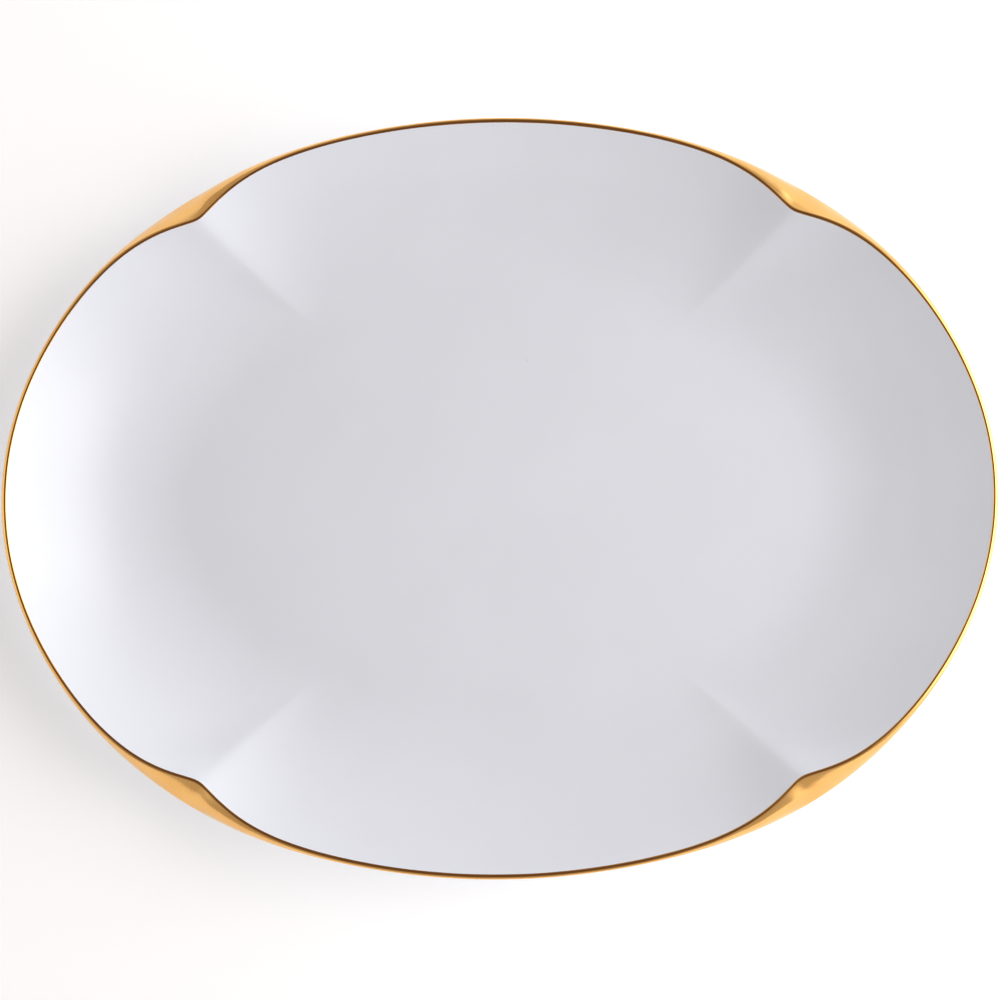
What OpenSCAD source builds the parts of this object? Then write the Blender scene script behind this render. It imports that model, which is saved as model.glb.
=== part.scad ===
// Oval china serving platter: a coupe shape with four pinched folds and a gilded rim.
// The long axis lies along X, the short axis along Y, and the foot stands on Z = 0.

/* [Platter] */
// Length over the rim
platter_l = 380; // [340:5:420]
// Width over the rim
platter_w = 291; // [276:1:320]
// Height from the ground edge of the foot to the crest of the rim
platter_h = 31; // [28:0.5:36]

/* [Well and wall] */
// Length of the flat well
well_l = 244; // [230:2:256]
// Width of the flat well
well_w = 158; // [150:2:170]
// Thickness of the floor, glaze included
floor_t = 4.6; // [4:0.2:6]
// Thickness of the wall and of its rounded rim, glaze included
rim_t = 2.6; // [2:0.1:3]

/* [Folds] */
// Direction of the first fold, as an angle from the long axis
fold_dir = 43.9; // [42:0.1:46]
// How far a fold pulls the crest of the rim inwards
fold_pull = 8.6; // [4:0.1:9]
// How far along the crest a fold reaches to either side
fold_reach = 20.8; // [17:0.2:24]
// Rounding of a fold's tip
fold_tip = 1.2; // [1:0.1:3]
// How far the outer edge swells behind a fold
fold_swell = 3; // [0:0.1:3.4]
// How far along the outer edge that swell reaches to either side
swell_reach = 57; // [50:1:80]
// How far the outer edge drops below the rim behind a fold
wing_drop = 9.6; // [7:0.2:10.4]
// How far along the outer edge that drop reaches to either side
drop_reach = 32; // [26:1:38]
// How much steeper the facet there is at its outer edge, and how much flatter at its crest
wing_bow = 12; // [6:1:16]

/* [Foot] */
// Length over the foot ring
foot_l = 238; // [228:2:242]
// Width over the foot ring
foot_w = 152; // [146:2:154]
// Height of the foot ring below the floor
foot_h = 2.8; // [2:0.2:3.6]
// Width of the foot ring at its base
foot_t = 6; // [5:0.5:7]

/* [Glaze and gold] */
// Thickness of the glaze coat and of the gilded coat
coat_t = 0.2; // [0.15:0.05:0.3]

/* [Hidden] */

china_colour = "#f1ede4";
glaze_colour = "#f7f8fb";
gold_colour = "#d9a24a";

// The lip is a round bead whose diameter is the wall's thickness.
bead_r = rim_t / 2;
bead_z = platter_h - bead_r;
well_z = foot_h + floor_t;
well_half = [well_l, well_w] / 2;

// Slope of the wall where it meets the bead, taken at the platter's long end.
wall_rise = platter_h - well_z;
wall_run = (platter_l - well_l) / 2;
lip_slope = atan(2 * wall_rise / (wall_run - rim_t));
crest_half = [platter_l, platter_w] / 2 - bead_r * (1 + sin(lip_slope)) * [1, 1];

// How sharply a fold falls away from its middle, and the least share of its full reach that it
// keeps down at the well.
fold_power = 1.3;
level_reach_least = 0.12;

// Under a fold the back is hollow: the pull at which the edge has turned up into the hollow,
// and the length of the curve's handles there.
hollow_pull = 4;
hollow_handle = 12;

// Slope of the gilded bead's middle between the folds, and the size that a facet has to reach
// before its own slope takes over.
line_slope = 44;
slope_blend = 0.6;

// Where the gilding ends below the edge, as an angle round the bead from straight up.
gold_end = 128;

// Foot ring: taper of its flanks, height of its bare ground edge, its chamfer, and the fillets
// that join it to the floor.
foot_taper = 0.8;
bare_h = 0.5;
bare_chamfer = 0.45;
foot_half = [foot_l, foot_w] / 2;
foot_fillet = 1.2;
fillet_angles = [0, 45, 90];

// Divisions along a section.
face_n = 7;
crest_n = 3;
wing_n = 3;
lip_n = 3;
under_n = 3;
back_n = 4;
// The back's coupe curve ends this far up the wall, where the curve under the lip takes over.
back_top = 0.86;
back_low = 0.1;

// Directions of the sections, closest together at the folds, and how many of them a wing spans
// on each side of its fold.
fold_cols = 10;
wing_cols = 5;
col_power = 1.4;
quarter = concat(
    [for (i = [0 : fold_cols]) fold_dir * (1 - pow(1 - i / fold_cols, col_power))],
    [for (i = [1 : fold_cols]) fold_dir + (90 - fold_dir) * pow(i / fold_cols, col_power)]
);
quarter_n = 2 * fold_cols;
col_n = 4 * quarter_n;
dirs = [
    for (q = [0 : 3], i = [0 : quarter_n - 1])
        q % 2 == 0 ? 90 * q + quarter[i] : 90 * (q + 1) - quarter[quarter_n - i]
];

function mix(a, b, t) = a + (b - a) * t;
function ease(t) = let (u = min(1, max(0, t))) u * u * (3 - 2 * u);

// Point of an oval of the given half axes, in one direction from its centre.
function oval(half, dir) = [cos(dir), sin(dir)] / norm([cos(dir) / half.x, sin(dir) / half.y]);

// Outward normal of that oval at a point of it.
function oval_normal(half, p) =
    let (g = [p.x / pow(half.x, 2), p.y / pow(half.y, 2)]) g / norm(g);

// Distance from the nearest fold of an oval.
function fold_gap(half, p) = norm([abs(p.x), abs(p.y)] - oval(half, fold_dir));

// Share of the full pull at a distance from the fold.
function fold_share(gap, reach, tip) =
    exp(-pow((norm([gap, tip]) - tip) / reach, fold_power));

// Half axes of the level at share t of the way from the well's edge to the crest.
function level_half(t) = mix(well_half, crest_half, t);

// The pull on a level: it grows and widens from nothing at the well to its full size at the crest.
function level_pull(dir, t) =
    let (half = level_half(t), w = max(level_reach_least, t))
    fold_pull * t * fold_share(fold_gap(half, oval(half, dir)), fold_reach * w, fold_tip * w);

function swell(dir) =
    let (gap = fold_gap(crest_half, oval(crest_half, dir)))
    fold_swell * exp(-pow(gap / swell_reach, 2));

function drop_at(dir) =
    let (gap = fold_gap(crest_half, oval(crest_half, dir)))
    wing_drop * exp(-pow(gap / drop_reach, 2));

// Average slope of the facet from the crest to the outer edge.
function facet_slope(dir) =
    atan((drop_at(dir) + slope_blend * tan(line_slope)) / (level_pull(dir, 1) + slope_blend));

function rim_normal(dir) = oval_normal(crest_half, oval(crest_half, dir));

// Place of a level in plan.
function level_at(dir, t) =
    let (half = level_half(t), p = oval(half, dir))
    p + oval_normal(half, p) * (swell(dir) * t * t - level_pull(dir, t));

// Slope of the face at share t. The face rises as a parabola.
function face_slope(dir, t) =
    atan(2 * wall_rise * t / norm(level_at(dir, 1) - level_at(dir, 0)));

// A point in the upright plane of a section: out along the rim's normal, and up.
function upright(plan, dir, out, z) =
    let (n = rim_normal(dir)) [plan.x + n.x * out, plan.y + n.y * out, z];

// Face at share t, set in by depth. The wall's slope at the crest gives the height of its top.
function face_at(dir, t, depth) =
    let (
        slope = face_slope(dir, t),
        top = bead_z + bead_r * cos(face_slope(dir, 1)),
        z = mix(well_z, top, t * t)
    )
    upright(level_at(dir, t), dir, depth * sin(slope), z - depth * cos(slope));

// Back at share t, a wall's thickness below the face and set in by depth.
function wall_at(t) = mix(floor_t, rim_t, t);
function back_at(dir, t, depth) =
    let (
        slope = face_slope(dir, t),
        top = bead_z + bead_r * cos(face_slope(dir, 1)),
        z = mix(well_z, top, t * t) - wall_at(t) / cos(slope)
    )
    upright(level_at(dir, t), dir, -depth * sin(slope), z + depth * cos(slope));

// Points of the bead, by angle from straight up through outwards. The crest's bead sits on
// the wall, and the edge's bead lies out from it by the fold's pull and down by the drop.
function crest_bead(dir, angle, depth) =
    let (out = bead_r * sin(face_slope(dir, 1)), r = bead_r - depth)
    upright(level_at(dir, 1), dir, out + r * sin(angle), bead_z + r * cos(angle));
function edge_bead(dir, angle, depth) =
    let (
        out = bead_r * sin(face_slope(dir, 1)) + level_pull(dir, 1),
        z = bead_z - drop_at(dir),
        r = bead_r - depth
    )
    upright(level_at(dir, 1), dir, out + r * sin(angle), z + r * cos(angle));

// Direction that a surface runs in, out along the rim's normal and up.
function run(dir, slope) = let (n = rim_normal(dir)) [n.x * cos(slope), n.y * cos(slope), sin(slope)];
function curve(a, b, c, d, u) =
    a * pow(1 - u, 3) + 3 * b * pow(1 - u, 2) * u + 3 * c * (1 - u) * u * u + d * pow(u, 3);

// The facet from the crest's bead to the edge's bead.
function facet_at(dir, u, depth) =
    let (
        flat = facet_slope(dir) - wing_bow,
        steep = facet_slope(dir) + wing_bow,
        a = crest_bead(dir, flat, depth),
        d = edge_bead(dir, steep, depth),
        handle = norm(d - a) / 3
    )
    curve(a, a + handle * run(dir, -flat), d - handle * run(dir, -steep), d, u);

// Angle at which the edge's bead ends below: along the wall between the folds, and turned
// up into the hollow behind a fold.
function lip_end(dir) =
    let (formed = ease(level_pull(dir, 1) / hollow_pull), slope = face_slope(dir, 1))
    180 - slope + (slope + facet_slope(dir)) * formed;

// The curve from the edge's bead to the back of the wall.
function under_at(dir, u, depth) =
    let (
        formed = ease(level_pull(dir, 1) / fold_pull),
        end = lip_end(dir),
        a = edge_bead(dir, end, depth),
        d = back_at(dir, back_top, depth),
        handle = mix(norm(d - a) / 3, hollow_handle, formed)
    )
    curve(
        a, a - handle * run(dir, 180 - end),
        d + handle * run(dir, face_slope(dir, back_top)), d, u
    );

// Foot ring: a point at an inset from its outer outline and at a height.
function foot_at(dir, inset, z) =
    let (p = oval(foot_half, dir), n = oval_normal(foot_half, p))
    [p.x - n.x * inset, p.y - n.y * inset, z];

// Distance of the fillet from the foot's flank, and its height, by angle from straight up.
function fillet_out(angle, depth) = foot_fillet - (foot_fillet + depth) * sin(angle);
function fillet_z(angle, depth) = foot_h - foot_fillet + (foot_fillet + depth) * cos(angle);

function face_rows(dir, depth) = [for (i = [0 : face_n]) face_at(dir, i / face_n, depth)];
function gold_rows(dir, depth) =
    let (flat = facet_slope(dir) - wing_bow, steep = facet_slope(dir) + wing_bow)
    concat(
        [for (i = [1 : crest_n]) crest_bead(dir, mix(-face_slope(dir, 1), flat, i / crest_n), depth)],
        [for (i = [1 : wing_n]) facet_at(dir, i / wing_n, depth)],
        [for (i = [1 : lip_n]) edge_bead(dir, mix(steep, gold_end, i / lip_n), depth)]
    );
function under_rows(dir, depth) = [for (i = [0 : under_n]) under_at(dir, i / under_n, depth)];
function back_rows(dir, depth) =
    [for (i = [1 : back_n]) back_at(dir, mix(back_top, back_low, i / back_n), depth)];
function foot_out_rows(dir, depth) = [
    for (a = fillet_angles) foot_at(dir, -fillet_out(a, depth), fillet_z(a, depth)),
    foot_at(dir, foot_taper + depth, bare_h)
];
function foot_ground_rows(dir) = [
    foot_at(dir, foot_taper + bare_chamfer, 0),
    foot_at(dir, foot_t - foot_taper - bare_chamfer, 0)
];
function foot_in_rows(dir, depth) = [
    foot_at(dir, foot_t - foot_taper - depth, bare_h),
    for (i = [len(fillet_angles) - 1 : -1 : 0])
        foot_at(dir, foot_t + fillet_out(fillet_angles[i], depth), fillet_z(fillet_angles[i], depth))
];

function gilded(dir, depth) = concat([face_at(dir, 1, depth)], gold_rows(dir, depth));
function glazed_back(dir, depth) =
    concat(
        [edge_bead(dir, gold_end, depth)],
        under_rows(dir, depth), back_rows(dir, depth), foot_out_rows(dir, depth)
    );

// The whole section of the fired body, from the well's edge round the rim to the foot's inside.
function body_rows(dir) =
    concat(
        face_rows(dir, coat_t), gold_rows(dir, coat_t),
        under_rows(dir, coat_t), back_rows(dir, coat_t),
        foot_out_rows(dir, coat_t), foot_ground_rows(dir), foot_in_rows(dir, coat_t)
    );

// Triangles of the band between two neighbouring columns of points.
function band(left, right, rows) = [
    for (r = [0 : rows - 2])
        each [[left + r, right + r, right + r + 1], [left + r, right + r + 1, left + r + 1]]
];
function flipped(faces) = [for (f = faces) [for (i = [len(f) - 1 : -1 : 0]) f[i]]];

// A closed body from sections all the way round, capped flat at the first and last rows.
module round_body(sections) {
    rows = len(sections[0]);
    cols = len(sections);
    faces = concat(
        [for (c = [0 : cols - 1]) each band(c * rows, (c + 1) % cols * rows, rows)],
        [[for (c = [0 : cols - 1]) (cols - 1 - c) * rows]],
        [[for (c = [0 : cols - 1]) c * rows + rows - 1]]
    );
    polyhedron([for (s = sections) each s], faces);
}

// A thin coat between an outer and an inner set of sections, all the way round. A coat with a
// disc also covers the flat inside its first or its last row.
module round_coat(outer, inner, disc_first = false, disc_last = false) {
    rows = len(outer[0]);
    cols = len(outer);
    size = rows * cols;
    ends = concat(disc_first ? [] : [0], disc_last ? [] : [rows - 1]);
    discs = concat(disc_first ? [0] : [], disc_last ? [rows - 1] : []);
    skin = [for (c = [0 : cols - 1]) each band(c * rows, (c + 1) % cols * rows, rows)];
    lining = [for (f = flipped(skin)) [for (i = f) i + size]];
    edges = [
        for (r = ends, c = [0 : cols - 1])
            let (
                a = c * rows + r,
                b = (c + 1) % cols * rows + r,
                quad = [[a, b + size, b], [a, a + size, b + size]]
            )
            each (r == 0 ? quad : flipped(quad))
    ];
    caps = [
        for (r = discs)
            let (
                ring = [for (c = [0 : cols - 1]) c * rows + r],
                top = r == 0 ? flipped([ring])[0] : ring
            )
            each [top, [for (i = flipped([top])[0]) i + size]]
    ];
    polyhedron(
        concat([for (s = outer) each s], [for (s = inner) each s]),
        concat(skin, lining, edges, caps)
    );
}

// The same coat over part of the way round, closed at both ends.
module part_coat(outer, inner) {
    rows = len(outer[0]);
    cols = len(outer);
    size = rows * cols;
    skin = [for (c = [0 : cols - 2]) each band(c * rows, (c + 1) * rows, rows)];
    lining = [for (f = flipped(skin)) [for (i = f) i + size]];
    sides = [
        for (r = [0, rows - 1], c = [0 : cols - 2])
            let (
                a = c * rows + r,
                b = a + rows,
                quad = [[a, b + size, b], [a, a + size, b + size]]
            )
            each (r == 0 ? quad : flipped(quad))
    ];
    tips = [
        for (c = [0, cols - 1], r = [0 : rows - 2])
            let (
                a = c * rows + r,
                b = a + 1,
                quad = [[a, b, b + size], [a, b + size, a + size]]
            )
            each (c == 0 ? quad : flipped(quad))
    ];
    polyhedron(
        concat([for (s = outer) each s], [for (s = inner) each s]),
        concat(skin, lining, sides, tips)
    );
}

// Gilding from one section to another, counted from the right-hand end of the long axis.
module gilding(first, last) {
    span = [for (c = [first : last]) dirs[(c + col_n) % col_n]];
    color(gold_colour)
        part_coat([for (d = span) gilded(d, 0)], [for (d = span) gilded(d, coat_t)]);
}

// The gold line between the wings, centred on one end of an axis.
module gold_line(axis_end) {
    middle = axis_end * quarter_n;
    reach = axis_end % 2 == 0 ? fold_cols - wing_cols : quarter_n - fold_cols - wing_cols;
    gilding(middle - reach, middle + reach);
}

// The gilded facet behind the fold of one quarter.
module gold_wing(quarter_index) {
    in_quarter = quarter_index % 2 == 0 ? fold_cols : quarter_n - fold_cols;
    middle = quarter_index * quarter_n + in_quarter;
    gilding(middle - wing_cols, middle + wing_cols);
}

// The fired bone china, with its foot ring and its bare ground edge.
module china_body() {
    color(china_colour)
        round_body([for (d = dirs) body_rows(d)]);
}

// Glaze over the well and the face, up to the gold line.
module glaze_face() {
    color(glaze_colour)
        round_coat(
            [for (d = dirs) face_rows(d, 0)], [for (d = dirs) face_rows(d, coat_t)],
            disc_first = true
        );
}

// Glaze over the back, from the gilding down to the foot's bare edge.
module glaze_back() {
    color(glaze_colour)
        round_coat([for (d = dirs) glazed_back(d, 0)], [for (d = dirs) glazed_back(d, coat_t)]);
}

// Glaze on the underside, inside the foot ring.
module glaze_foot_well() {
    color(glaze_colour)
        round_coat(
            [for (d = dirs) foot_in_rows(d, 0)], [for (d = dirs) foot_in_rows(d, coat_t)],
            disc_last = true
        );
}

module gold_line_right() { gold_line(0); }
module gold_line_back() { gold_line(1); }
module gold_line_left() { gold_line(2); }
module gold_line_front() { gold_line(3); }
module gold_wing_right_back() { gold_wing(0); }
module gold_wing_left_back() { gold_wing(1); }
module gold_wing_left_front() { gold_wing(2); }
module gold_wing_right_front() { gold_wing(3); }

china_body();
glaze_face();
glaze_back();
glaze_foot_well();
gold_line_right();
gold_line_back();
gold_line_left();
gold_line_front();
gold_wing_right_back();
gold_wing_left_back();
gold_wing_left_front();
gold_wing_right_front();
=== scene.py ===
"""Oval china serving platter: glazed bone china with four pinched folds and a gilded rim.

Every visible surface is one family of sections, swept round the oval. A section runs out over
the flat well, up the coupe wall, over the crest, down the facet behind a fold, round the edge,
and back along the underside to the foot ring. Angles are in degrees and lengths in metres.
"""

import math

import bpy
import numpy as np
from mathutils import Matrix, Vector


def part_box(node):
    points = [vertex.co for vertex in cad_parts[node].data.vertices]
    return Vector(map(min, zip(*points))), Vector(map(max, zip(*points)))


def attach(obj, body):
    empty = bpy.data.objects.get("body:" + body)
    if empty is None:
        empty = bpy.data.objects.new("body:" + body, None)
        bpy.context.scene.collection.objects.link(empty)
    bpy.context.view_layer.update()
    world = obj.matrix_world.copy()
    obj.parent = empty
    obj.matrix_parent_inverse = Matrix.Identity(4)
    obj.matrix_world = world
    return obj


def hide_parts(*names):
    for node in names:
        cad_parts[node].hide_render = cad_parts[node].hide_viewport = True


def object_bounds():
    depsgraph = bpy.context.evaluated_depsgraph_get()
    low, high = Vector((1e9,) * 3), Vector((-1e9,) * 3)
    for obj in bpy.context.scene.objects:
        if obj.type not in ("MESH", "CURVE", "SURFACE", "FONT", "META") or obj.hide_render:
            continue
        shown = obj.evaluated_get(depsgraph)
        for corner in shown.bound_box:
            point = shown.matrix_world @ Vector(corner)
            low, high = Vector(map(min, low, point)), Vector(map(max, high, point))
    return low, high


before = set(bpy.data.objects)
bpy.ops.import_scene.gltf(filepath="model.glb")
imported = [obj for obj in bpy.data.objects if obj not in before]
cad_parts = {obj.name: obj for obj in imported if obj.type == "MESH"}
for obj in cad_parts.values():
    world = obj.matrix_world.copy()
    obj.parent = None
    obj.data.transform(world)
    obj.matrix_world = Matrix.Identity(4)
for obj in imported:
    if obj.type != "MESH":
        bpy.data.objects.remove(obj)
cad_low, cad_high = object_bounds()

# ---------------------------------------------------------------- sizes

# Thickness of the glaze coat and of the gilded coat.
COAT_T = 0.0002

# Sizes that the frame gives.
CREST_Z = cad_high.z
WELL_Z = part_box("glaze_face")[0].z + COAT_T
FOOT_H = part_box("glaze_foot_well")[1].z - COAT_T

# Driving sizes of the design.
PLATTER_HALF = np.array([0.190, 0.1455])
WELL_HALF = np.array([0.122, 0.079])
FLOOR_T = 0.0046
RIM_T = 0.0026
FOLD_DIR = 43.9
FOLD_PULL = 0.0086
FOLD_REACH = 0.0208
FOLD_TIP = 0.0012
FOLD_POWER = 1.3
LEVEL_REACH_LEAST = 0.12
FOLD_SWELL = 0.003
SWELL_REACH = 0.057
WING_DROP = 0.0096
DROP_REACH = 0.032
WING_BOW = 12
# Beside a fold the long sides' crest rolls over more broadly than the ends' crest does. The
# roll is full this many degrees past the fold, and wherever the fold pulls this far.
ROLL_BOW = 25
ROLL_TURN = 3
ROLL_PULL = 0.003
LINE_SLOPE = 44
SLOPE_BLEND = 0.0006
HOLLOW_PULL = 0.004
HOLLOW_HANDLE = 0.012
GOLD_END = 128
BACK_TOP = 0.86
BACK_LOW = 0.1
FOOT_HALF = np.array([0.119, 0.076])
FOOT_T = 0.006
FOOT_TAPER = 0.0008
FOOT_FILLET = 0.0012
BARE_H = 0.0005
BARE_CHAMFER = 0.00045

BEAD_R = RIM_T / 2
BEAD_Z = CREST_Z - BEAD_R
WALL_RISE = CREST_Z - WELL_Z
WALL_RUN = PLATTER_HALF[0] - WELL_HALF[0]
FLANK_TOP = FOOT_H - FOOT_FILLET

# Divisions of the fine meshes.
FOLD_COLS = 60
WING_COLS = 30
COL_POWER = 1.4
WELL_ROWS = 10
FACE_ROWS = 72
CREST_ROWS = 2
BEAD_ROWS = 9
FACET_ROWS = 14
LIP_ROWS = 9
UNDER_ROWS = 22
BACK_ROWS = 36
FLOOR_EDGE_ROWS = 5
FILLET_ROWS = 6
FLANK_ROWS = 3
GROUND_ROWS = 4


def sin(angle):
    return np.sin(np.radians(angle))


def cos(angle):
    return np.cos(np.radians(angle))


def mix(a, b, t):
    return a + (b - a) * t


def ease(t):
    u = np.clip(t, 0, 1)
    return u * u * (3 - 2 * u)


# ---------------------------------------------------------------- the design's surfaces


def oval(half, dirs):
    """Points of an oval of the given half axes, in directions from its centre."""
    reach = np.hypot(cos(dirs) / half[0], sin(dirs) / half[1])
    return np.stack([cos(dirs), sin(dirs)], -1) / reach[:, None]


def oval_normal(half, points):
    """Outward normals of that oval at points of it."""
    gradient = points / half**2
    return gradient / np.linalg.norm(gradient, axis=-1, keepdims=True)


def fold_gap(half, points):
    """Distance from the nearest fold of an oval."""
    return np.linalg.norm(np.abs(points) - oval(half, np.array([FOLD_DIR])), axis=-1)


LIP_SLOPE = math.degrees(math.atan(2 * WALL_RISE / (WALL_RUN - RIM_T)))
CREST_HALF = PLATTER_HALF - BEAD_R * (1 + math.sin(math.radians(LIP_SLOPE)))


class Sections:
    """The sections of the platter in the given directions. Each method returns one row of
    points, one for each section, and depth sets the row in below the surface."""

    def __init__(self, dirs):
        self.dirs = dirs
        crest = oval(CREST_HALF, dirs)
        gap = fold_gap(CREST_HALF, crest)
        self.normal = oval_normal(CREST_HALF, crest)
        self.swell = FOLD_SWELL * np.exp(-((gap / SWELL_REACH) ** 2))
        self.drop = WING_DROP * np.exp(-((gap / DROP_REACH) ** 2))
        self.pull = self.level_pull(1)
        self.run = np.linalg.norm(self.level(1) - self.level(0), axis=-1)
        self.lip_slope = self.face_slope(1)
        rise = self.drop + SLOPE_BLEND * math.tan(math.radians(LINE_SLOPE))
        self.facet_slope = np.degrees(np.arctan(rise / (self.pull + SLOPE_BLEND)))
        formed = ease(self.pull / HOLLOW_PULL)
        self.lip_end = 180 - self.lip_slope + (self.lip_slope + self.facet_slope) * formed
        turned = np.degrees(np.arctan2(np.abs(sin(dirs)), np.abs(cos(dirs)))) - FOLD_DIR
        roll = ROLL_BOW * ease(turned / ROLL_TURN) * ease(self.pull / ROLL_PULL)
        self.flat = self.facet_slope - WING_BOW - roll
        self.steep = self.facet_slope + WING_BOW + roll / 2

    def level_pull(self, t):
        """How far the folds pull the level in at share t of the way from the well to the crest."""
        half = mix(WELL_HALF, CREST_HALF, t)
        size = max(LEVEL_REACH_LEAST, t)
        tip = FOLD_TIP * size
        gap = np.hypot(fold_gap(half, oval(half, self.dirs)), tip) - tip
        return FOLD_PULL * t * np.exp(-((gap / (FOLD_REACH * size)) ** FOLD_POWER))

    def level(self, t):
        """Places of the level in plan."""
        half = mix(WELL_HALF, CREST_HALF, t)
        points = oval(half, self.dirs)
        out = self.swell * t * t - self.level_pull(t)
        return points + oval_normal(half, points) * out[:, None]

    def face_slope(self, t):
        return np.degrees(np.arctan(2 * WALL_RISE * t / self.run))

    def upright(self, plan, out, z):
        """Points in the upright planes of the sections: out along the rim's normal, and up."""
        flat = plan + self.normal * np.broadcast_to(out, self.dirs.shape)[:, None]
        return np.column_stack([flat, np.broadcast_to(z, self.dirs.shape)])

    def along(self, slope):
        """Directions that climb at a slope, out along the rim's normal."""
        climb = np.broadcast_to(slope, self.dirs.shape)
        return np.column_stack([self.normal * cos(climb)[:, None], sin(climb)])

    def face_height(self, t):
        return mix(WELL_Z, BEAD_Z + BEAD_R * cos(self.lip_slope), t * t)

    def well(self, share, depth):
        """The flat well, at a share of the way from its centre to its edge."""
        return np.column_stack([self.level(0) * share, np.full(self.dirs.shape, WELL_Z - depth)])

    def face(self, t, depth):
        slope = self.face_slope(t)
        z = self.face_height(t) - depth * cos(slope)
        return self.upright(self.level(t), depth * sin(slope), z)

    def back(self, t, depth):
        slope = self.face_slope(t)
        z = self.face_height(t) - mix(FLOOR_T, RIM_T, t) / cos(slope) + depth * cos(slope)
        return self.upright(self.level(t), -depth * sin(slope), z)

    def crest_bead(self, angle, depth):
        """The bead on top of the wall, at an angle from straight up through outwards."""
        out = BEAD_R * sin(self.lip_slope) + (BEAD_R - depth) * sin(angle)
        return self.upright(self.level(1), out, BEAD_Z + (BEAD_R - depth) * cos(angle))

    def edge_bead(self, angle, depth):
        """The bead along the outer edge, which lies out and down from the crest at a fold."""
        out = BEAD_R * sin(self.lip_slope) + self.pull + (BEAD_R - depth) * sin(angle)
        return self.upright(self.level(1), out, BEAD_Z - self.drop + (BEAD_R - depth) * cos(angle))

    def facet(self, u, depth):
        """The facet from the crest's bead to the edge's bead."""
        a = self.crest_bead(self.flat, depth)
        d = self.edge_bead(self.steep, depth)
        handle = np.linalg.norm(d - a, axis=-1, keepdims=True) / 3
        return curve(a, a + handle * self.along(-self.flat), d - handle * self.along(-self.steep), d, u)

    def under(self, u, depth):
        """The curve from the edge's bead to the back, hollow behind a fold."""
        formed = ease(self.pull / FOLD_PULL)
        a = self.edge_bead(self.lip_end, depth)
        d = self.back(BACK_TOP, depth)
        plain = np.linalg.norm(d - a, axis=-1) / 3
        handle = mix(plain, HOLLOW_HANDLE, formed)[:, None]
        b = a - handle * self.along(180 - self.lip_end)
        c = d + handle * self.along(self.face_slope(BACK_TOP))
        return curve(a, b, c, d, u)

    def foot(self, inset, z):
        """The foot ring, at an inset from its outer outline and at a height."""
        points = oval(FOOT_HALF, self.dirs)
        plan = points - oval_normal(FOOT_HALF, points) * inset
        return np.column_stack([plan, np.full(self.dirs.shape, z)])

    def foot_fillet(self, angle, depth, inner=False):
        """The fillet that joins the foot ring to the underside, by angle from straight up."""
        out = FOOT_FILLET - (FOOT_FILLET + depth) * sin(angle)
        z = FLANK_TOP + (FOOT_FILLET + depth) * cos(angle)
        return self.foot(FOOT_T + out if inner else -out, z)


def curve(a, b, c, d, u):
    """A cubic curve between a and d."""
    v = 1 - u
    return a * v**3 + 3 * b * v * v * u + 3 * c * v * u * u + d * u**3


# ---------------------------------------------------------------- rows of each surface


def gold_start(s):
    """Where the gilding starts on the crest's bead: the brushed line wanders a little. Each
    wave is a count round the rim, a phase and a size, the last two in degrees."""
    waves = ((7, 20, 1.2), (17, 75, 0.9), (31, 140, 0.6), (67, 10, 0.3))
    wander = sum(size * (1 + sin(count * s.dirs + phase)) for count, phase, size in waves)
    return wander - s.lip_slope


def steps(count, first=0):
    return [i / count for i in range(first, count + 1)]


def well_rows(s, depth):
    """The flat well, from near its centre to just inside its edge."""
    return [s.well(u, depth) for u in steps(WELL_ROWS, 1)[:-1]]


def face_rows(s, depth):
    rows = [s.face(t, depth) for t in steps(FACE_ROWS)]
    start = gold_start(s)
    return rows + [s.crest_bead(mix(-s.lip_slope, start, u), depth) for u in steps(CREST_ROWS, 1)]


def gold_rows(s, depth):
    start = gold_start(s)
    rows = [s.crest_bead(mix(start, s.flat, u), depth) for u in steps(BEAD_ROWS)[:-1]]
    rows += [s.facet(u, depth) for u in steps(FACET_ROWS)]
    return rows + [s.edge_bead(mix(s.steep, GOLD_END, u), depth) for u in steps(LIP_ROWS, 1)]


def under_rows(s, depth):
    rows = [s.edge_bead(mix(GOLD_END, s.lip_end, u), depth) for u in steps(LIP_ROWS)[:-1]]
    rows += [s.under(u, depth) for u in steps(UNDER_ROWS)]
    return rows + [s.back(mix(BACK_TOP, BACK_LOW, u), depth) for u in steps(BACK_ROWS, 1)]


def foot_out_rows(s, depth):
    """From the floor's underside over a fillet and down the foot ring's outer flank."""
    a = s.back(BACK_LOW, depth)
    d = s.foot_fillet(0, depth)
    handle = np.linalg.norm(d - a, axis=-1, keepdims=True) / 3
    b = a - handle * s.along(s.face_slope(BACK_LOW))
    rows = [curve(a, b, d + handle * s.along(0), d, u) for u in steps(FLOOR_EDGE_ROWS, 1)]
    rows += [s.foot_fillet(90 * u, depth) for u in steps(FILLET_ROWS, 1)]
    flank = steps(FLANK_ROWS, 1)
    return rows + [s.foot(FOOT_TAPER * u + depth, mix(FLANK_TOP, BARE_H, u)) for u in flank]


def foot_ground_rows(s):
    first = FOOT_TAPER + BARE_CHAMFER
    return [s.foot(mix(first, FOOT_T - first, u), 0) for u in steps(GROUND_ROWS)]


def foot_in_rows(s, depth):
    """Up the foot ring's inner flank, over a fillet and across the underside."""
    flank = reversed(steps(FLANK_ROWS, 1))
    rows = [s.foot(FOOT_T - FOOT_TAPER * u - depth, mix(FLANK_TOP, BARE_H, u)) for u in flank]
    rows += [s.foot_fillet(90 * u, depth, inner=True) for u in reversed(steps(FILLET_ROWS))]
    edge = rows[-1]
    return rows + [edge * [u, u, 1] for u in reversed(steps(WELL_ROWS, 1)[:-1])]


# ---------------------------------------------------------------- meshes


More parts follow.
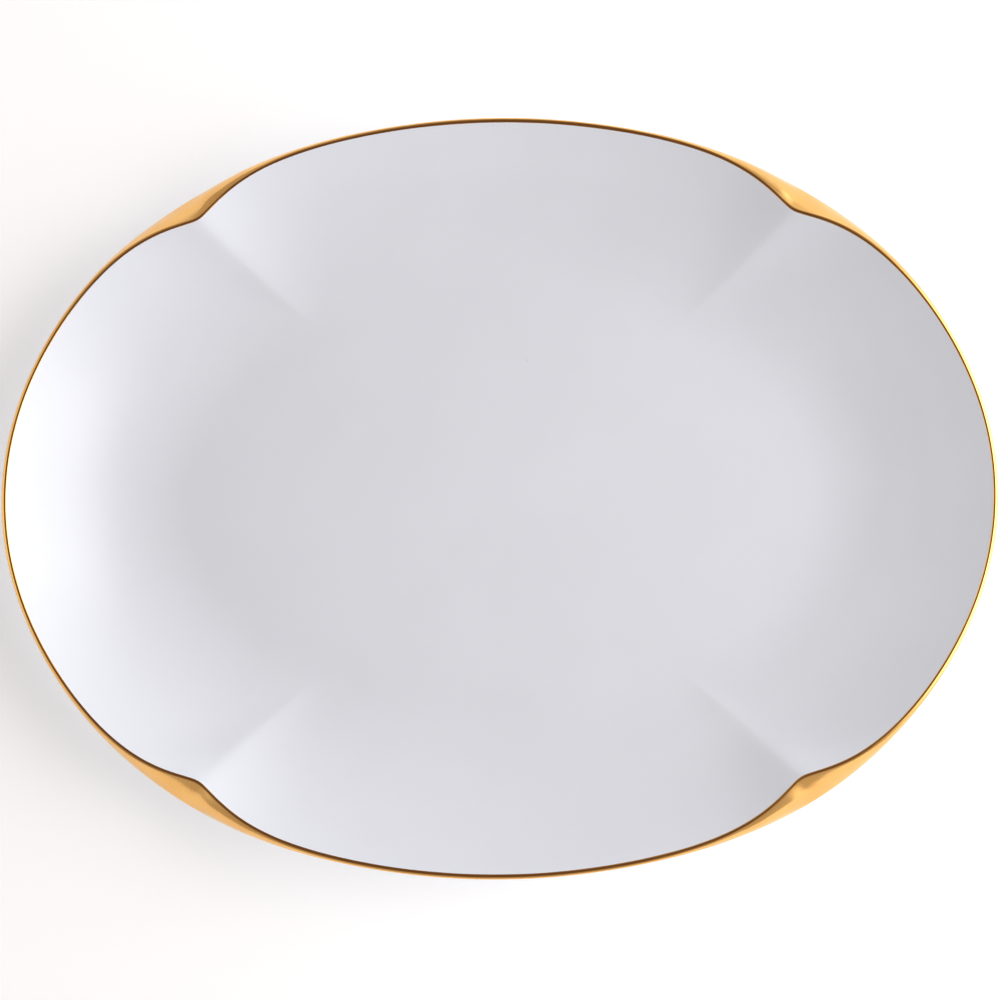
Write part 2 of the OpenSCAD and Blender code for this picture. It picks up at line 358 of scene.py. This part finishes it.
def quarter_dirs():
    """Directions of one quarter, closest together at its fold."""
    near = [FOLD_DIR * (1 - (1 - u) ** COL_POWER) for u in steps(FOLD_COLS)]
    far = [mix(FOLD_DIR, 90, u**COL_POWER) for u in steps(FOLD_COLS, 1)]
    return np.array(near + far)


QUARTER = quarter_dirs()
QUARTER_COLS = 2 * FOLD_COLS
ALL_DIRS = np.concatenate([
    QUARTER[:-1],
    180 - QUARTER[:0:-1],
    180 + QUARTER[:-1],
    360 - QUARTER[:0:-1],
])


# Edges that turn by more than this stay sharp in the shading.
SHARP_ANGLE = 50


def skin_faces(cols, rows, wrap, base, flip):
    """Quads of a grid of columns of points."""
    c, r = np.meshgrid(np.arange(cols if wrap else cols - 1), np.arange(rows - 1), indexing="ij")
    here = base + c * rows + r
    beside = base + (c + 1) % cols * rows + r
    quads = np.stack([here, here + 1, beside + 1, beside], -1).reshape(-1, 4)
    return quads[:, ::-1] if flip else quads


def edge_faces(first, second, wrap, flip):
    """Quads between two lines of points."""
    count = len(first) if wrap else len(first) - 1
    a = np.arange(count)
    b = (a + 1) % len(first)
    quads = np.stack([first[a], first[b], second[b], second[a]], -1)
    return quads[:, ::-1] if flip else quads


def build_mesh(name, points, quads, fans):
    mesh = bpy.data.meshes.new(name)
    faces = [tuple(q) for q in quads.tolist()] + [tuple(f) for f in fans]
    mesh.from_pydata(points.tolist(), [], faces)
    mesh.validate()
    mesh.shade_smooth()
    mesh.set_sharp_from_angle(angle=math.radians(SHARP_ANGLE))
    piece = bpy.data.objects.new(name, mesh)
    bpy.context.scene.collection.objects.link(piece)
    return piece


def columns(rows):
    """Rows of points as columns of points, one column for each section."""
    return np.stack(rows, 1)


def fan(centre, ring, flip):
    """Triangles from a centre to a ring that runs round it."""
    after = np.roll(ring, -1)
    faces = [(centre, int(a), int(b)) for a, b in zip(ring, after)]
    return [f[::-1] for f in faces] if flip else faces


def coat(name, outer, inner, wrap=True, disc=None):
    """A thin closed coat between two sets of columns. disc closes its first or last row flat."""
    cols, rows = outer.shape[:2]
    size = cols * rows
    points = np.concatenate([outer.reshape(-1, 3), inner.reshape(-1, 3)])
    quads = [skin_faces(cols, rows, wrap, 0, False), skin_faces(cols, rows, wrap, size, True)]
    fans = []
    starts = np.arange(cols) * rows
    for row, first in ((0, True), (rows - 1, False)):
        ring = starts + row
        if disc == ("first" if first else "last"):
            for base, side in ((0, outer), (size, inner)):
                centre = [0, 0, side[0, row, 2]]
                points = np.concatenate([points, [centre]])
                fans += fan(len(points) - 1, ring + base, first == (base > 0))
        else:
            quads.append(edge_faces(ring, ring + size, wrap, not first))
    if not wrap:
        line = np.arange(rows)
        for column, first in ((0, True), (cols - 1, False)):
            quads.append(edge_faces(line + column * rows, line + column * rows + size, False, first))
    return build_mesh(name, points, np.concatenate(quads), fans)


def solid(name, body):
    """A closed solid from columns that run all the way round a section."""
    cols, rows = body.shape[:2]
    starts = np.arange(cols) * rows
    low = [0, 0, body[0, 0, 2]]
    high = [0, 0, body[0, -1, 2]]
    points = np.concatenate([body.reshape(-1, 3), [low, high]])
    fans = fan(len(points) - 2, starts, False) + fan(len(points) - 1, starts + rows - 1, True)
    return build_mesh(name, points, skin_faces(cols, rows, True, 0, False), fans)


def settle(piece, node, material):
    """Puts a finished piece on the body, in place of its CAD node."""
    piece.data.materials.append(material)
    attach(piece, "root")
    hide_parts(node)


# ---------------------------------------------------------------- materials


class Nodes:
    """A short way to write the node tree of a material or of the world."""

    def __init__(self, owner):
        owner.use_nodes = True
        self.owner = owner
        self.tree = owner.node_tree
        self.shader = self.tree.nodes.get("Principled BSDF")

    def add(self, kind, **settings):
        node = self.tree.nodes.new("ShaderNode" + kind)
        for key, value in settings.items():
            setattr(node, key, value)
        return node

    def link(self, source, target):
        self.tree.links.new(source, target)

    def place(self):
        """Object coordinates in metres."""
        return self.add("TexCoord").outputs["Object"]

    def rim_place(self, scale):
        """Lengths along and across the rim, in metres, stretched."""
        lengths = self.add("UVMap", uv_map="rim")
        mapping = self.add("Mapping")
        mapping.inputs["Scale"].default_value = scale
        self.link(lengths.outputs["UV"], mapping.inputs["Vector"])
        return mapping.outputs["Vector"]

    def noise(self, scale, detail, vector=None):
        node = self.add("TexNoise")
        node.inputs["Scale"].default_value = scale
        node.inputs["Detail"].default_value = detail
        self.link(vector or self.place(), node.inputs["Vector"])
        return node.outputs["Fac"]

    def spread(self, value, low, high, to_low=0.0, to_high=1.0):
        """A value remapped from one range to another and kept inside it."""
        node = self.add("MapRange", interpolation_type="SMOOTHSTEP")
        ends = {"From Min": low, "From Max": high, "To Min": to_low, "To Max": to_high}
        for key, number in ends.items():
            node.inputs[key].default_value = number
        self.link(value, node.inputs["Value"])
        return node.outputs["Result"]

    def blend(self, factor, first, second):
        """A colour between two others."""
        node = self.add("Mix", data_type="RGBA")
        self.link(factor, node.inputs["Factor"])
        for socket, colour in ((node.inputs[6], first), (node.inputs[7], second)):
            if isinstance(colour, tuple):
                socket.default_value = (*colour, 1)
            else:
                self.link(colour, socket)
        return node.outputs[2]

    def math(self, operation, first, second):
        node = self.add("Math", operation=operation)
        for socket, value in zip(node.inputs, (first, second)):
            if isinstance(value, (int, float)):
                socket.default_value = value
            else:
                self.link(value, socket)
        return node.outputs[0]

    def bump(self, height, distance, below=None):
        node = self.add("Bump")
        node.inputs["Distance"].default_value = distance
        self.link(height, node.inputs["Height"])
        if below:
            self.link(below, node.inputs["Normal"])
        return node.outputs["Normal"]


def material_nodes(name):
    return Nodes(bpy.data.materials.new(name))


def glazed_china():
    """Clear gloss glaze over white china: a faint cloudiness, a slow ripple, and rare specks."""
    n = material_nodes("glazed_china")
    cloud = n.spread(n.noise(22, 3), 0.35, 0.65)
    colour = n.blend(cloud, (0.777, 0.797, 0.855), (0.764, 0.784, 0.841))
    cells = n.add("TexVoronoi", feature="F1")
    cells.inputs["Scale"].default_value = 85
    n.link(n.place(), cells.inputs["Vector"])
    near = n.spread(cells.outputs["Distance"], 0.02, 0.05, 1, 0)
    parts = n.add("SeparateColor")
    n.link(cells.outputs["Color"], parts.inputs["Color"])
    chosen = n.spread(parts.outputs[0], 0.86, 0.9)
    speck = n.math("MULTIPLY", n.math("MULTIPLY", near, chosen), 0.2)
    colour = n.blend(speck, colour, (0.45, 0.42, 0.4))
    n.link(colour, n.shader.inputs["Base Color"])
    n.link(n.spread(n.noise(60, 3), 0.3, 0.7, 0.05, 0.085), n.shader.inputs["Roughness"])
    n.shader.inputs["IOR"].default_value = 1.5
    ripple = n.bump(n.noise(35, 1), 0.00005)
    n.link(n.bump(speck, -0.00002, ripple), n.shader.inputs["Normal"])
    return n.owner


def fired_china():
    """Bare bone china on the foot's ground edge: matt, fine-grained, a little rubbed."""
    n = material_nodes("bare_china")
    grain = n.noise(2600, 3)
    colour = n.blend(n.spread(n.noise(40, 4), 0.3, 0.7), (0.80, 0.76, 0.69), (0.68, 0.63, 0.56))
    colour = n.blend(n.spread(grain, 0.62, 0.75, 0, 0.5), colour, (0.45, 0.40, 0.34))
    n.link(colour, n.shader.inputs["Base Color"])
    n.link(n.spread(grain, 0.3, 0.7, 0.7, 0.95), n.shader.inputs["Roughness"])
    n.link(n.bump(grain, 0.00008), n.shader.inputs["Normal"])
    return n.owner


def bright_gold():
    """Fired gold film: mirror bright, with fine brush marks along the rim and small scuffs."""
    n = material_nodes("bright_gold")
    brush = n.noise(1, 3, n.rim_place((60, 2600, 1)))
    cloud = n.noise(90, 3)
    colour = n.blend(n.spread(cloud, 0.3, 0.7), (0.90, 0.512, 0.168), (0.87, 0.475, 0.148))
    n.link(colour, n.shader.inputs["Base Color"])
    n.shader.inputs["Metallic"].default_value = 1
    rough = n.math("ADD", n.spread(brush, 0.3, 0.7, 0.10, 0.17), n.spread(cloud, 0.45, 0.8, 0, 0.08))
    n.link(rough, n.shader.inputs["Roughness"])
    ripple = n.bump(n.noise(140, 2), 0.00003)
    n.link(n.bump(brush, 0.000012, ripple), n.shader.inputs["Normal"])
    return n.owner


def rim_lengths(piece, outer):
    """A UV map that holds lengths along and across the rim, in metres."""
    cols, rows = outer.shape[:2]
    middle = outer[:, rows // 2]
    along = np.concatenate([[0], np.cumsum(np.linalg.norm(np.diff(middle, axis=0), axis=-1))])
    across = np.cumsum(np.linalg.norm(np.diff(outer, axis=1, prepend=outer[:, :1]), axis=-1), axis=1)
    lengths = np.stack([np.broadcast_to(along[:, None], (cols, rows)), across], -1).reshape(-1, 2)
    both = np.concatenate([lengths, lengths])
    corner = np.zeros(len(piece.data.loops), int)
    piece.data.loops.foreach_get("vertex_index", corner)
    layer = piece.data.uv_layers.new(name="rim")
    layer.data.foreach_set("uv", both[corner].ravel())


# ---------------------------------------------------------------- the pieces

ring = Sections(ALL_DIRS)

glaze = glazed_china()
gold = bright_gold()

face = [well_rows(ring, d) + face_rows(ring, d) for d in (0, COAT_T)]
settle(
    coat("face_glaze", columns(face[0]), columns(face[1]), disc="first"),
    "glaze_face", glaze,
)

back = [under_rows(ring, d) + foot_out_rows(ring, d) for d in (0, COAT_T)]
settle(coat("back_glaze", columns(back[0]), columns(back[1])), "glaze_back", glaze)

inside = [foot_in_rows(ring, d) for d in (0, COAT_T)]
settle(
    coat("foot_well_glaze", columns(inside[0]), columns(inside[1]), disc="last"),
    "glaze_foot_well", glaze,
)

body_rows = well_rows(ring, COAT_T) + face_rows(ring, COAT_T)[::2] + gold_rows(ring, COAT_T)[1::2]
body_rows += under_rows(ring, COAT_T)[1::2] + foot_out_rows(ring, COAT_T)
body_rows += foot_ground_rows(ring) + foot_in_rows(ring, COAT_T)
settle(solid("fired_body", columns(body_rows)), "china_body", fired_china())


def gilding(name, node, first, last):
    """Gilding over a span of sections, counted from the right-hand end of the long axis."""
    span = Sections(ALL_DIRS[np.arange(first, last + 1) % len(ALL_DIRS)])
    outer = columns(gold_rows(span, 0))
    piece = coat(name, outer, columns(gold_rows(span, COAT_T)), wrap=False)
    rim_lengths(piece, outer)
    settle(piece, node, gold)


for turn, side in enumerate(("right", "back", "left", "front")):
    middle = turn * QUARTER_COLS
    reach = FOLD_COLS - WING_COLS
    gilding(f"rim_line_{side}", f"gold_line_{side}", middle - reach, middle + reach)

for turn, side in enumerate(("right_back", "left_back", "left_front", "right_front")):
    middle = turn * QUARTER_COLS + FOLD_COLS
    gilding(f"wing_{side}", f"gold_wing_{side}", middle - WING_COLS, middle + WING_COLS)

# ---------------------------------------------------------------- floor, light and camera


def pale_floor():
    """A large pale sweep under the platter."""
    half = 6.0
    corners = [(-half, -half, 0), (half, -half, 0), (half, half, 0), (-half, half, 0)]
    mesh = bpy.data.meshes.new("floor")
    mesh.from_pydata(corners, [], [(0, 1, 2, 3)])
    floor = bpy.data.objects.new("floor", mesh)
    bpy.context.scene.collection.objects.link(floor)
    n = material_nodes("pale_floor")
    colour = n.blend(n.noise(3, 2), (0.86, 0.86, 0.86), (0.88, 0.88, 0.88))
    n.link(colour, n.shader.inputs["Base Color"])
    n.shader.inputs["Roughness"].default_value = 0.9
    n.shader.inputs["Specular IOR Level"].default_value = 0.1
    n.shader.inputs["Emission Color"].default_value = (1, 1, 1, 1)
    n.shader.inputs["Emission Strength"].default_value = 0.3
    mesh.materials.append(n.owner)


def direction(azimuth, elevation):
    """Unit vector by azimuth from +X towards +Y and elevation above the horizon."""
    a, e = math.radians(azimuth), math.radians(elevation)
    return Vector((math.cos(a) * math.cos(e), math.sin(a) * math.cos(e), math.sin(e)))


SCRIM_DISTANCE = 1.5
# How much brighter a scrim is at its foot, and the elevation where that ends.
SCRIM_FOOT = 0.35
SCRIM_FOOT_TOP = 14


def scrim(name, azimuths, elevations, side_fade, top_fade, level):
    """A large curved diffuser, lit from behind, that thins out towards its sides and its top."""
    cols, rows = 24, 20
    points, cover, glow, faces = [], [], [], []
    for i in range(cols + 1):
        azimuth = mix(*azimuths, i / cols)
        for j in range(rows + 1):
            elevation = mix(*elevations, j / rows)
            points.append(direction(azimuth, elevation) * SCRIM_DISTANCE)
            side = ease((azimuth - azimuths[0]) / side_fade) * ease((azimuths[1] - azimuth) / side_fade)
            cover.append(float(side * ease((elevations[1] - elevation) / top_fade)))
            glow.append(float(level * (1 + SCRIM_FOOT * ease(1 - elevation / SCRIM_FOOT_TOP))))
    for i in range(cols):
        for j in range(rows):
            k = i * (rows + 1) + j
            faces.append((k, k + 1, k + rows + 2, k + rows + 1))
    mesh = bpy.data.meshes.new(name)
    mesh.from_pydata(points, [], faces)
    for key, values in (("cover", cover), ("glow", glow)):
        mesh.attributes.new(key, "FLOAT", "POINT").data.foreach_set("value", values)
    panel = bpy.data.objects.new(name, mesh)
    bpy.context.scene.collection.objects.link(panel)
    panel.visible_camera = False
    n = material_nodes(name)
    n.tree.nodes.clear()
    shine, clear, both, end = (
        n.add(kind) for kind in ("Emission", "BsdfTransparent", "MixShader", "OutputMaterial")
    )
    for key, target in (("cover", both.inputs[0]), ("glow", shine.inputs["Strength"])):
        amount = n.add("Attribute", attribute_name=key)
        n.link(amount.outputs["Fac"], target)
    n.link(clear.outputs[0], both.inputs[1])
    n.link(shine.outputs[0], both.inputs[2])
    n.link(both.outputs[0], end.inputs["Surface"])
    mesh.materials.append(n.owner)


# The walls' brightness in three bands, one above the other. Azimuth is in degrees from +X
# towards +Y, and each stop is an azimuth and a level.
LOW_WALL = (
    (0, 0.8), (45, 1.0), (88, 1.1), (132, 0.5), (180, 1.2), (228, 0.5), (270, 0.6),
    (315, 0.6), (360, 0.8),
)
MIDDLE_WALL = (
    (0, 0.5), (60, 0.5), (86, 0.1), (112, 0.45), (134, 0.45), (156, 1.1), (180, 1.5),
    (204, 1.1), (228, 0.4), (265, 0.5), (315, 0.5), (360, 0.5),
)
HIGH_WALL = (
    (0, 0.3), (84, 0.05), (120, 0.5), (166, 0.85), (200, 0.6), (228, 0.25), (276, 0.1),
    (315, 0.25), (360, 0.3),
)
CEILING = (0.15, 0.095, 0.075)
WALL_STRENGTH = 0.92
# The elevations between which one band gives way to the next.
MIDDLE_EDGE = (17, 23)
HIGH_EDGE = (40, 48)
CEILING_EDGE = (52, 64)


def studio_walls():
    """Pale walls all round under a dark warm ceiling."""
    world = bpy.data.worlds.new("studio")
    bpy.context.scene.world = world
    n = Nodes(world)
    parts = n.add("SeparateXYZ")
    n.link(n.add("TexCoord").outputs["Generated"], parts.inputs[0])
    turn = n.math("ARCTAN2", parts.outputs["Y"], parts.outputs["X"])
    azimuth = n.math("FRACT", n.math("DIVIDE", turn, 2 * math.pi), 0)

    def wall(stops):
        node = n.add("ValToRGB")
        ramp = node.color_ramp
        ramp.interpolation = "EASE"
        for angle, level in stops[1:-1]:
            ramp.elements.new(angle / 360)
        for element, (angle, level) in zip(ramp.elements, stops):
            element.color = (*(mix(dark, 1, level) for dark in CEILING), 1)
        n.link(azimuth, node.inputs["Fac"])
        return node.outputs["Color"]

    def stack(edge, below, above):
        """One colour below an edge between two elevations and another above it."""
        low, high = (math.sin(math.radians(angle)) for angle in edge)
        return n.blend(n.spread(parts.outputs["Z"], low, high), below, above)

    colour = stack(MIDDLE_EDGE, wall(LOW_WALL), wall(MIDDLE_WALL))
    colour = stack(HIGH_EDGE, colour, wall(HIGH_WALL))
    colour = stack(CEILING_EDGE, colour, CEILING)
    background = n.tree.nodes["Background"]
    n.link(colour, background.inputs["Color"])
    background.inputs["Strength"].default_value = WALL_STRENGTH


def set_camera():
    """Almost straight above, a little south and east of the centre."""
    lean_east, lean_south, roll = 2.59, 4.8, 0.44
    distance = 1.3
    sensor_mm, focal_mm = 36, 120.096
    offset = Vector((math.tan(math.radians(lean_east)), -math.tan(math.radians(lean_south)), 1))
    place = offset.normalized() * distance
    camera = bpy.data.cameras.new("camera")
    camera.sensor_width = sensor_mm
    camera.lens = focal_mm
    camera.clip_start = 0.05
    holder = bpy.data.objects.new("camera", camera)
    bpy.context.scene.collection.objects.link(holder)
    aim = Vector((-0.00008, 0.00063, 0))
    ahead = (aim - place).normalized()
    r = math.radians(roll)
    right = ahead.cross(Vector((math.sin(r), math.cos(r), 0))).normalized()
    up = right.cross(ahead)
    holder.matrix_world = Matrix.Translation(place) @ Matrix((right, up, -ahead)).transposed().to_4x4()
    bpy.context.scene.camera = holder


pale_floor()
studio_walls()
scrim(
    "key_scrim", azimuths=(-48, 56), elevations=(1, 77), side_fade=36, top_fade=28, level=3.8,
)
set_camera()
bpy.context.scene.view_settings.view_transform = "Standard"
